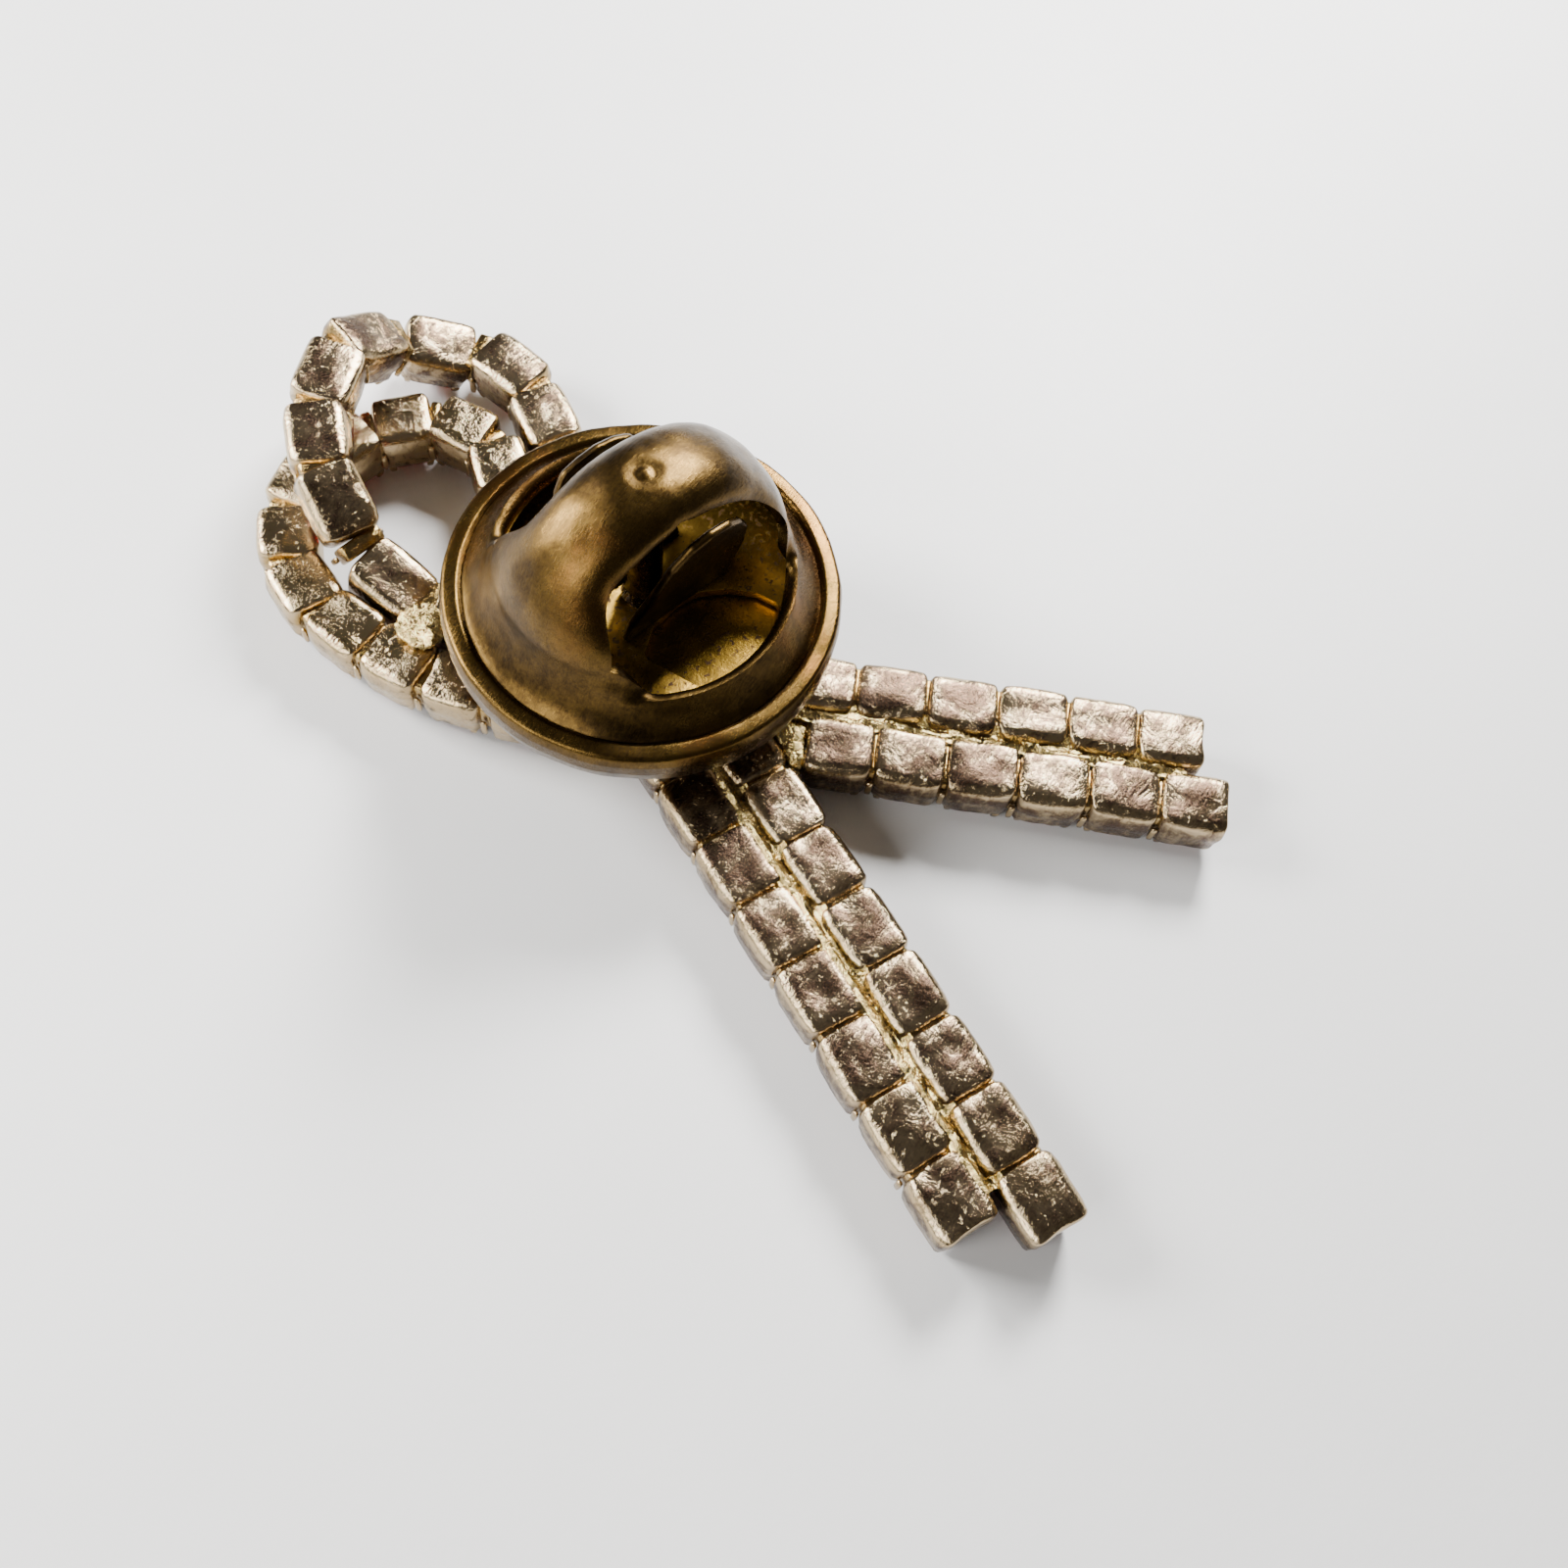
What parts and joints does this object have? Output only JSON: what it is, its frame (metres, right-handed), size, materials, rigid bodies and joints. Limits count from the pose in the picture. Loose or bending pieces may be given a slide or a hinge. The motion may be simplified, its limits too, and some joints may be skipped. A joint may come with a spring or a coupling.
{
  "type": "ribbon lapel pin with butterfly clutch",
  "caption": "Ribbon-shaped lapel pin of paired square stone-cup strips, lying face down, with a soldered post and a winged butterfly clutch pushed on it.",
  "frame": {"origin": "on the post's axis, where the post leaves its soldered pad", "axes": "+Z along the post, away from the badge; +Y towards the loop, with the two legs on the -Y side; +X to the right as seen from the back"},
  "size_m": [0.0179, 0.0332, 0.0095],
  "materials": {
    "plated_metal": "tarnished silver plate",
    "solder": "bright uneven solder",
    "stone": "faceted red glass",
    "aged_brass": "darkened brass",
    "yellow_brass": "spotted yellow brass"
  },
  "bodies": {
    "badge": {"left_outer_strip": "plated_metal", "left_inner_strip": "plated_metal", "right_outer_strip": "plated_metal", "right_inner_strip": "plated_metal", "loop_upper_strip": "plated_metal", "loop_lower_strip": "plated_metal", "left_outer_stones": "stone", "left_inner_stones": "stone", "right_outer_stones": "stone", "right_inner_stones": "stone", "loop_upper_stones": "stone", "loop_lower_stones": "stone", "left_seam": "solder", "right_seam": "solder", "right_leg_solder": "solder", "loop_end_solder": "solder", "loop_side_solder": "solder", "post_pad": "solder", "post": "plated_metal"},
    "clutch": {"clutch_base": "aged_brass", "clutch_arch": "aged_brass", "spring_plate": "yellow_brass"},
    "near_wing": {"near_wing": "aged_brass"},
    "far_wing": {"far_wing": "aged_brass"}
  },
  "joints": [
    {"name": "clutch_slide", "type": "slide", "parent": "badge", "child": "clutch", "axis": [0, 0, 1], "range_m": [0, 0.012]},
    {"name": "near_wing_squeeze", "type": "hinge", "parent": "clutch", "child": "near_wing", "pos_m": [-0.00023, -0.00087, 0.0026], "axis": [-0.9659, 0.2588, 0], "range_deg": [0, 8], "stiffness_Nm_per_rad": 0.01},
    {"name": "far_wing_squeeze", "type": "hinge", "parent": "clutch", "child": "far_wing", "pos_m": [0.00023, 0.00087, 0.0026], "axis": [0.9659, -0.2588, 0], "range_deg": [0, 8], "stiffness_Nm_per_rad": 0.01}
  ]
}
